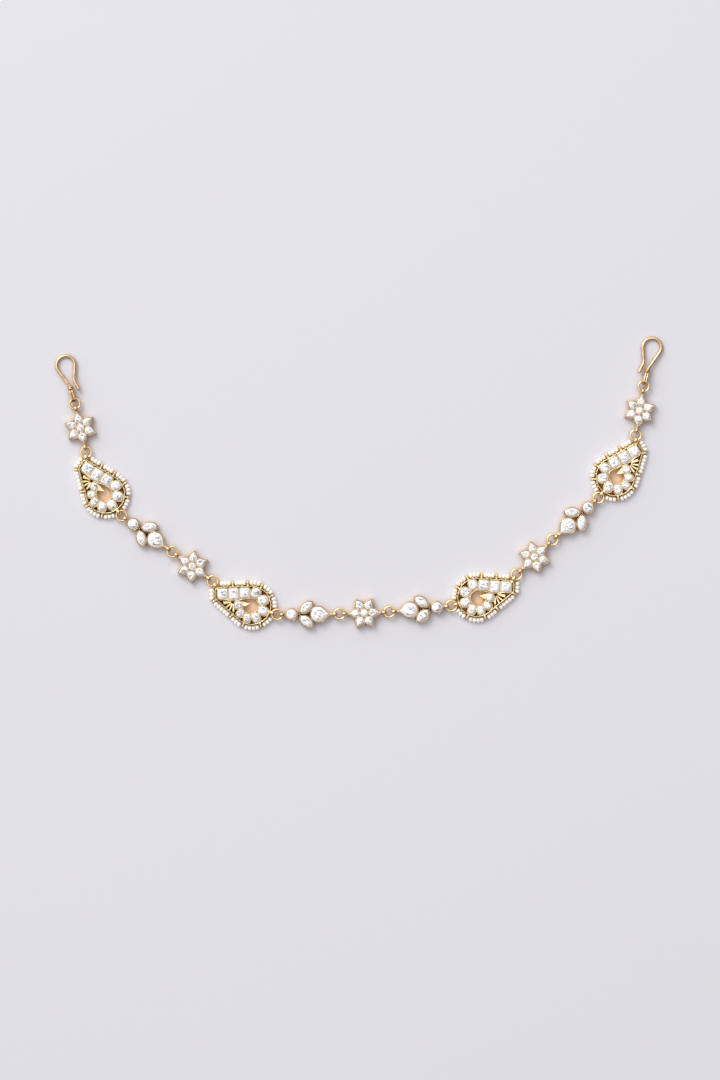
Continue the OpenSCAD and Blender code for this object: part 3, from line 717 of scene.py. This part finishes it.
round_edge = round_stone / 2 + collet_wall
pear_edge = pear_along + (pear_stone / 2 + collet_wall) * pear_point / (pear_stone / 2) + pear_neck
pear_at = Vector((pear_along, 0, 0))
upper_leaf, lower_leaf = (Vector((marquise_along, side * marquise_aside, 0)) for side in (1, -1))
trio_stones = (
    (partial(oval_outline, round_stone, round_stone), Vector(), 0),
    (partial(marquise_outline, *marquise_stone), upper_leaf, marquise_turn),
    (partial(marquise_outline, *marquise_stone), lower_leaf, -marquise_turn),
    (partial(pear_outline, pear_point, pear_stone), pear_at, 0),
)
trio_back = (Vector((round_edge + back_in, back_aside, 0)), upper_leaf, pear_at, lower_leaf,
             Vector((round_edge + back_in, -back_aside, 0)))


def solder_drop(bm):
    """The drop of solder between the round collet and the marquises, cut off at its foot."""
    drop = bmesh.ops.create_uvsphere(bm, u_segments=20, v_segments=10, radius=1)["verts"]
    bmesh.ops.scale(bm, vec=solder_size, verts=drop)
    bmesh.ops.translate(bm, verts=drop, vec=(round_edge + solder_in, 0, solder_foot))
    bmesh.ops.bisect_plane(bm, geom=drop + list({e for v in drop for e in v.link_edges})
                           + list({f for v in drop for f in v.link_faces}),
                           plane_co=(0, 0, solder_foot), plane_no=(0, 0, -1), clear_outer=True)
    bmesh.ops.holes_fill(bm, edges=[e for e in bm.edges if e.is_boundary], sides=0)


for number, index in motifs("trio"):
    place = motif_place(index, Vector((-round_edge - link_reach, 0, 0)),
                        Vector((pear_edge + link_reach, 0, 0)))
    bm = bmesh.new()
    for k, (outline, at, heading) in enumerate(trio_stones):
        collet(bm, outline, at, heading, foot_step * k, wall_height - top_step * k)
    raised(bm, trio_back, back_foot, back_top)
    # The trio's back and everything else below this height take the painted shade.
    for face in bm.faces:
        if face.calc_center_median().z < painted_shade_below:
            face.material_index = 1
    solder_drop(bm)
    link_eye(bm, Vector((-round_edge, 0, 0)), 180)
    link_eye(bm, Vector((pear_edge, 0, 0)), 0)
    block(bm, tip_block, (pear_edge - tip_block_in, 0, tip_block_height))
    finish_piece(bm, f"trio_{number}_collets", [collet_gold, painted_shade_gold],
                 f"trio_{number}_setting", place)
    cut_stones("trio", number, trio_stones, 60 + number, place)

# Paisleys: four of them, each a drop-shaped plate with a comma-shaped opening, a collet for
# each of its ten stones, a raised wire round its edge, and a fan of gold leaves and a beaked
# head where the spiral of stones closes. Eyelets on the edge carry the string of pearls.
plate_gold = plated_gold("plate_gold", pale=(1.0, 0.84, 0.52), deep=(0.97, 0.72, 0.35),
                         unshaded_level=0.56)

# The outline is a belt round three discs, the belly, the tail's tip and its heel, each
# given by the x and y of its middle and its radius.
paisley_discs = ((0.35, 0.35, 7.1), (-13.55, -0.35, 1.0), (-12.05, -2.25, 1.5))
belly_middle, tail_middle = (Vector((x, y, 0)) for x, y, radius in paisley_discs[:2])
belly_r, tail_r = (radius for x, y, radius in paisley_discs[:2])
tail_eye_heading = 149
belly_eye_heading = 7
belt_step = 4
least_cosine = 0.6
plate_top = wall_height - 1.2
leaf_foot = plate_top - 0.1
weld = 0.0001
ground_slack = 0.01

# The stones, by their length along the row, their width across it and, in the tail, their
# place along the straight edge or, in the spiral, how far out of it they sit.
tail_rows = ((3.8, 4.0, 10.4), (3.6, 4.4, 6.15), (3.7, 3.8, 1.95))
spiral_rows = ((3.4, 3.85, 0.075), (3.4, 4.0, 0.09), (3.2, 3.9, 0.12), (2.9, 3.75, 0.135),
               (2.6, 3.4, 0.06), (2.5, 3.1, 0.0), (2.9, 2.8, 0.0))
spiral_start = 94.5
spiral_wall = 0.5
spiral_r = 5.2
spiral_close = 0.1
pillow_squareness = 0.82
cushion_corner = 0.17
tail_corner = 1.3
paisley_stone_spread = 0.04

# The strips, by how far out of the outline they stand, their thickness, foot, top and
# rounding. The stones' strips, without foot and top, differ by a hair in height from stone
# to stone, so that no two of their tops share a plane.
hole_strip = (0.3, 0.3, plate_top - 0.2, wall_height - 0.12, 0.13)
flange = (0.62, 0.7, 0.02, 0.4, 0.12)
flange_shade = 0.42
rim_wire = (0.3, 0.34, 0.3, wall_height + 0.02, 0.16)
stone_strip = (0.37, 0.24, 0.1)
strip_step = 0.01
strip_steps = 3

# The beak, by its roots, which lie so far inside the edge of the head's collet at a heading,
# and by the run of its throat and brow. The fan's leaves are each between two headings.
beak_roots = ((0.1, 8), (0.1, 80), (0.5, 60))
beak_throat = (Vector((-1.75, -1.0, 0)), Vector((-1.2, -0.3, 0)))
beak_tip = Vector((-1.0, 0.38, 0))
beak_tip_r = 0.2
beak_tip_turns = (-40, 5, 50, 95)
beak_brow = (Vector((-1.7, 0.36, 0)), Vector((-2.75, 0.06, 0)))
beak_top = wall_height - 0.08
beak_round = 0.07
fan_pivot = Vector((-6.45, -1.5, 0))
fan_leaves = ((183, 199), (207, 225), (240, 253), (266, 278), (290, 303))
fan_reach = 3.9
fan_root = 0.9
fan_root_turn = 14
fan_gap = 0.1
fan_top = wall_height - 0.12
fan_step = 0.01
fan_round = 0.16

# Between the middles of neighbouring pearls: knots of thin wire where the pearls touch,
# eyelets where they stand apart, and a link eye where they stand widest apart.
string_gap = 1.55
string_height = 0.98
pearl_bore = 0.56
eyelet_d = 1.7
eyelet_width = 0.9
eyelet_steps = 24
eyelet_neck = (0.6, string_gap - eyelet_d / 2 + 0.6, 1.1)
eyelet_neck_height = 0.95
touching = 2.2
eye_between = 4
knot_r = 0.34
knot_in = 1.05
knot_height = 1.35
lug_r = 0.46
lug_length = 1.2


def run_normal(i):
    """Heading of the outward normal of the straight edge from one disc to the next."""
    a, b = paisley_discs[i], paisley_discs[(i + 1) % 3]
    run = Vector((b[0] - a[0], b[1] - a[1]))
    return math.degrees(math.atan2(run.y, run.x) - math.acos((a[2] - b[2]) / run.length))


def belt(grow):
    """The drop's outline: a belt round its three discs, moved outwards by grow."""
    points = []
    for i, (x, y, r) in enumerate(paisley_discs):
        start = run_normal((i + 2) % 3)
        arc = (run_normal(i) - start) % 360
        steps = math.ceil(arc / belt_step)
        points += [Vector((x, y, 0)) + polar(r + grow, start + arc * k / steps)
                   for k in range(steps + 1)]
    return points


def cushion_outline(length, width, grow, sides, end_corner=0.0):
    """An oblong with rounded corners. end_corner is the least radius of the two ahead."""
    steps = max(1, sides // 4 - 1)
    points = []
    for quarter in range(4):
        sx = 1 if quarter in (0, 3) else -1
        sy = 1 if quarter < 2 else -1
        corner = max(cushion_corner * min(length, width), end_corner * (sx > 0))
        points += [Vector((sx * (length / 2 - corner), sy * (width / 2 - corner), 0))
                   + polar(corner + grow, 90 * quarter + 90 * i / steps)
                   for i in range(steps + 1)]
    return points


top_normal = run_normal(0)
top_offset = belly_r + polar(1, top_normal).dot(belly_middle)
low_normal = run_normal(2)
low_offset = belly_r + polar(1, low_normal).dot(belly_middle)
paisley_stones = []
for length, width, along in tail_rows:
    corner = 0.0 if paisley_stones else tail_corner
    at = (polar(along, top_normal + 90)
          + polar(top_offset - collet_wall - width / 2, top_normal))
    paisley_stones.append((partial(cushion_outline, length, width, end_corner=corner), at,
                           top_normal + 90))
angle = spiral_start
for k, (length, width, out) in enumerate(spiral_rows):
    radius = spiral_r - spiral_close * k
    if k:
        apart = (spiral_rows[k - 1][0] + length) / 2 + spiral_wall
        angle -= 2 * math.degrees(math.asin(apart / 2 / radius))
    paisley_stones.append((partial(oval_outline, length, width, squareness=pillow_squareness),
                           polar(radius + out, angle), angle + 90))
head_at = paisley_stones[-1][1]
head_r = spiral_rows[-1][0] / 2 + collet_wall


def widened(points, by):
    """An outline moved outwards, its sharp corners cut short."""
    turns = zip(points[-1:] + points[:-1], points, points[1:] + points[:1])
    ways = [((b - a).normalized(), (c - b).normalized()) for a, b, c in turns]
    hand = math.copysign(1, sum(before.cross(after).z for before, after in ways))
    grown = []
    for point, (before, after) in zip(points, ways):
        along = (before + after).normalized()
        grown.append(point + Vector((along.y, -along.x, 0)) * hand * by
                     / max(least_cosine, along.dot(before)))
    return grown


def plate_with_opening(bm, node, height, into_local):
    """The back plate on the flat underside of the node. Returns the opening's outline."""
    bm.from_mesh(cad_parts[node].data)
    bmesh.ops.remove_doubles(bm, verts=bm.verts, dist=weld * MM)
    on_ground = {f for f in bm.faces if all(v.co.z < ground_slack * MM for v in f.verts)}
    bmesh.ops.delete(bm, geom=[f for f in bm.faces if f not in on_ground], context="FACES")
    bmesh.ops.transform(bm, matrix=into_local @ Matrix.Scale(1 / MM, 4), verts=bm.verts)
    # The opening's edge is the one that comes nearest to the belly's middle.
    hole = []
    vert = min((v for v in bm.verts if v.is_boundary), key=lambda v: (v.co - belly_middle).length)
    while vert not in hole:
        hole.append(vert)
        vert = next((e.other_vert(vert) for e in vert.link_edges
                     if e.is_boundary and e.other_vert(vert) not in hole), hole[0])
    opening = [v.co.copy() for v in hole]
    grown = bmesh.ops.extrude_face_region(bm, geom=list(bm.faces), use_keep_orig=True)["geom"]
    bmesh.ops.translate(bm, verts=[g for g in grown if isinstance(g, bmesh.types.BMVert)],
                        vec=(0, 0, height))
    # The whole plate takes the second material, the painted shade.
    for face in bm.faces:
        face.material_index = 1
    return opening


# Under each opening lies a patch of card whose tan is painted light from the gold round it, deeper
# and warmer toward its walls.
painted_gold_light_tones = ((0.25, (1.0, 0.54, 0.25)), (0.66, (0.84, 0.71, 0.60)))
painted_gold_light_card = painted_shade_card("card_painted_gold_light", painted_gold_light_tones, reach=4, samples=16, gloss=0.5)


def painted_gold_light_patch(number, outline, place):
    """The card seen through an opening, its tan a painted warm light from the gold round it, with
    painted shade toward its walls.
    """
    bm = bmesh.new()
    bm.faces.new([bm.verts.new(place @ (p - Vector((0, 0, ground_drop / 2)))) for p in outline])
    bmesh.ops.scale(bm, vec=(MM,) * 3, verts=bm.verts)
    bmesh.ops.recalc_face_normals(bm, faces=bm.faces)
    made_object(f"painted_gold_light_card_{number}", bm, [painted_gold_light_card])


def gold_leaf(bm, points, high, lip):
    """A low block of gold with rounded upper edges, on the plate."""
    rounded_off(bm, [raised(bm, points, leaf_foot, high)], high, lip, segments=3)


def beak_outline():
    """From the head's stone along the throat, round the tip and back over the brow."""
    first, *last = [head_at + polar(head_r - sunk, heading) for sunk, heading in beak_roots]
    tip = [beak_tip + polar(beak_tip_r, turn) for turn in beak_tip_turns]
    return [first, *beak_throat, *tip, *beak_brow, *last]


def fan_leaf_outline(first, last):
    """A leaf from near the pivot to its full reach, or to just inside the plate's edge."""
    room = low_offset - fan_gap - fan_pivot.dot(polar(1, low_normal))
    ends = [fan_pivot + polar(min(fan_reach, room / math.cos(math.radians(way - low_normal))),
                              way) for way in (first, last)]
    roots = [fan_pivot + polar(fan_root, (first + last) / 2 + turn)
             for turn in (fan_root_turn, -fan_root_turn)]
    return ends + roots


def string_eyelet(bm, at, heading):
    """A small half-round ring round the pearl wire, on a neck. heading is in radians."""
    before = set(bm.verts)
    ring = half_round_ring(bm, pearl_bore, (eyelet_d - pearl_bore) / 2, eyelet_width,
                           eyelet_steps)
    bmesh.ops.transform(bm, verts=ring, matrix=(Matrix.Translation((0, 0, string_height))
                                                @ Matrix.Rotation(math.pi / 2, 4, "Y")))
    block(bm, eyelet_neck, (0, (string_gap + eyelet_d / 2) / 2, eyelet_neck_height))
    bmesh.ops.transform(bm, verts=added(bm, before),
                        matrix=Matrix.Translation(at) @ Matrix.Rotation(heading, 4, "Z"))


def string_knot(bm, at):
    """A knot of thin wire that binds the string to the edge where two pearls touch."""
    knot = bmesh.ops.create_uvsphere(bm, u_segments=12, v_segments=8, radius=knot_r)["verts"]
    bmesh.ops.translate(bm, verts=knot, vec=at)


def string_lug(bm, seat, heading):
    """The short round lug under a link eye, with the pearl wire along its middle."""
    before = set(bm.verts)
    bmesh.ops.create_cone(bm, segments=20, radius1=lug_r, radius2=lug_r, depth=lug_length,
                          cap_ends=True)
    lug_at = seat + polar(string_gap, heading) + Vector((0, 0, string_height))
    bmesh.ops.transform(bm, verts=added(bm, before),
                        matrix=turned_to(heading, lug_at) @ Matrix.Rotation(math.pi / 2, 4, "X"))


def loose_parts(node):
    """Middle and heading, in radians, of each loose solid of a node, which for a pearl is
    that of its bore, along its shortest axis."""
    bm = bmesh.new()
    bm.from_mesh(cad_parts[node].data)
    bmesh.ops.remove_doubles(bm, verts=bm.verts, dist=weld * MM)
    left, parts = set(bm.verts), []
    while left:
        found, to_visit = set(), [next(iter(left))]
        while to_visit:
            vert = to_visit.pop()
            if vert not in found:
                found.add(vert)
                to_visit += [e.other_vert(vert) for e in vert.link_edges]
        left -= found
        points = np.array(sorted(tuple(v.co) for v in found)) / MM
        middle = (points.min(0) + points.max(0)) / 2
        axis = np.linalg.eigh(np.cov((points[:, :2] - middle[:2]).T))[1][:, 0]
        parts.append((Vector(middle), math.atan2(axis[1], axis[0])))
    bm.free()
    middle = sum((p[0] for p in parts), Vector()) / len(parts)
    return sorted(parts, key=lambda p: math.atan2(p[0].y - middle.y, p[0].x - middle.x))


tail_seat = tail_middle + polar(tail_r, tail_eye_heading)
belly_seat = belly_middle + polar(belly_r, belly_eye_heading)
link_seats = ((tail_seat, tail_eye_heading), (belly_seat, belly_eye_heading))
for number, index in motifs("paisley"):
    place = motif_place(index, *(seat + polar(link_reach, heading)
                                 for seat, heading in link_seats))
    back_to_local = place.inverted()
    bm = bmesh.new()
    opening = plate_with_opening(bm, f"paisley_{number}_setting", plate_top, back_to_local)
    out, *strip = hole_strip
    painted_gold_light_patch(number, widened(opening, out), place)
    strip_of_gold(bm, widened(opening, out), *strip)
    out, *strip = flange
    strip_of_gold(bm, belt(out), *strip)
    # The flange and everything else below it take the painted shade.
    for face in bm.faces:
        if face.calc_center_median().z < flange_shade:
            face.material_index = 1
    out, *strip = rim_wire
    strip_of_gold(bm, belt(out), *strip)
    out, wall, lip = stone_strip
    for k, (outline, at, heading) in enumerate(paisley_stones):
        strip_of_gold(bm, placed(outline(out, collet_sides), at, heading), wall, leaf_foot,
                      wall_height - strip_step * (k % strip_steps), lip)
    gold_leaf(bm, beak_outline(), beak_top, beak_round)
    for k, leaf in enumerate(fan_leaves):
        gold_leaf(bm, fan_leaf_outline(*leaf), fan_top - fan_step * k, fan_round)
    for seat, heading in link_seats:
        link_eye(bm, seat, heading)
        string_lug(bm, seat, heading)
    pearls = [back_to_local @ at for at, heading in loose_parts(f"paisley_{number}_pearls")]
    for a, b in zip(pearls, pearls[1:] + pearls[:1]):
        run = (b - a) if not place.is_negative else (a - b)
        middle = ((a + b) / 2).xy.to_3d()
        if touching < run.length < eye_between:
            string_eyelet(bm, middle, math.atan2(run.y, run.x))
        elif run.length < touching:
            inwards = Vector((-run.y, run.x, 0)).normalized()
            string_knot(bm, middle + inwards * knot_in + Vector((0, 0, knot_height)))
    finish_piece(bm, f"paisley_{number}_plate", [plate_gold, painted_shade_gold],
                 f"paisley_{number}_setting", place)
    cut_stones("paisley", number, paisley_stones, 80 + number, place, paisley_stone_spread)

# Pearl borders: thirty-three drilled seed pearls round each paisley, each a little different,
# strung on a closed loop of thin gold wire that runs through the eyelets.
pearl_d = 1.94
pearl_gap = 0.03
pearl_sizes = (0.95, 0.985)
pearl_widths = (0.97, 1)
pearl_lengths = (0.95, 1)
pearl_lean = (-4, 4)
pearl_sides = 12
pearl_steps = 24


def pearl_skin(name):
    """Creamy lustre with a painted glow and faint colour from pearl to pearl."""
    material, nodes, link, shader = new_finish(name)
    place = nodes.new("ShaderNodeTexCoord")
    cloud = nodes.new("ShaderNodeTexNoise")
    cloud.inputs["Scale"].default_value = 380
    tint = ramp(nodes, (0.35, (0.98, 0.93, 0.82)), (0.62, (1.0, 0.98, 0.92)))
    grain = nodes.new("ShaderNodeTexNoise")
    grain.inputs["Scale"].default_value = 2600
    skin = nodes.new("ShaderNodeBump")
    skin.inputs["Strength"].default_value = 0.12
    skin.inputs["Distance"].default_value = 0.05 * MM
    link(place.outputs["Object"], cloud.inputs["Vector"])
    link(place.outputs["Object"], grain.inputs["Vector"])
    link(cloud.outputs["Fac"], tint.inputs["Fac"])
    link(tint.outputs["Color"], shader.inputs["Base Color"])
    link(grain.outputs["Fac"], skin.inputs["Height"])
    link(skin.outputs["Normal"], shader.inputs["Normal"])
    shader.inputs["Roughness"].default_value = 0.24
    shader.inputs["Coat Weight"].default_value = 0.5
    shader.inputs["Coat Roughness"].default_value = 0.12
    shader.inputs["Subsurface Weight"].default_value = 0.2
    shader.inputs["Subsurface Radius"].default_value = (1, 0.85, 0.7)
    shader.inputs["Subsurface Scale"].default_value = 0.4 * MM
    # Painted glow: a faint cream emission stands in for light shining through the pearls.
    shader.inputs["Emission Color"].default_value = (1.0, 0.95, 0.88, 1)
    shader.inputs["Emission Strength"].default_value = 0.14
    return material


seed_pearl = pearl_skin("seed_pearl_skin")


def pearl(bm, at, heading, length, draw):
    """A drilled pearl: a round side spun about its bore, which lies along the wire.
    heading is in radians."""
    bore, tube = pearl_bore / 2, length / 2
    out = pearl_d / 2 - tube
    bend = math.acos(max(-1, min(1, (bore - out) / tube)))
    side = [Vector((out + tube * math.cos(a), 0, tube * math.sin(a)))
            for a in (bend - 2 * bend * k / (pearl_sides - 1) for k in range(pearl_sides))]
    verts = spun_ring(bm, side, pearl_steps)
    size = draw.uniform(*pearl_sizes)
    lean = Matrix.Rotation(math.radians(draw.uniform(*pearl_lean)), 4, "X")
    scale = (size, size * draw.uniform(*pearl_widths), draw.uniform(*pearl_lengths), 1)
    bmesh.ops.transform(
        bm, verts=verts,
        matrix=Matrix.Translation(at) @ Matrix.Rotation(heading, 4, "Z")
        @ Matrix.Rotation(math.pi / 2, 4, "Y") @ lean @ Matrix.Diagonal(scale))


for number in range(1, motif_kinds.count("paisley") + 1):
    bm = bmesh.new()
    draw = random.Random(100 + number)
    pearls = loose_parts(f"paisley_{number}_pearls")
    for k, (at, heading) in enumerate(pearls):
        room = []
        for other, other_heading in (pearls[k - 1], pearls[(k + 1) % len(pearls)]):
            turn = abs(math.remainder(other_heading - heading, math.pi))
            room.append((other - at).length - turn * pearl_d / 4)
        pearl(bm, at, heading, min(room) - pearl_gap, draw)
    finish_piece(bm, f"paisley_{number}_seed_pearls", [seed_pearl],
                 f"paisley_{number}_pearls", Matrix.Identity(4))

    bm = bmesh.new()
    bm.from_mesh(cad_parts[f"paisley_{number}_pearl_wire"].data)
    bmesh.ops.remove_doubles(bm, verts=bm.verts, dist=weld * MM)
    bmesh.ops.scale(bm, vec=(1 / MM,) * 3, verts=bm.verts)
    finish_piece(bm, f"paisley_{number}_string", [ring_gold],
                 f"paisley_{number}_pearl_wire", Matrix.Identity(4))
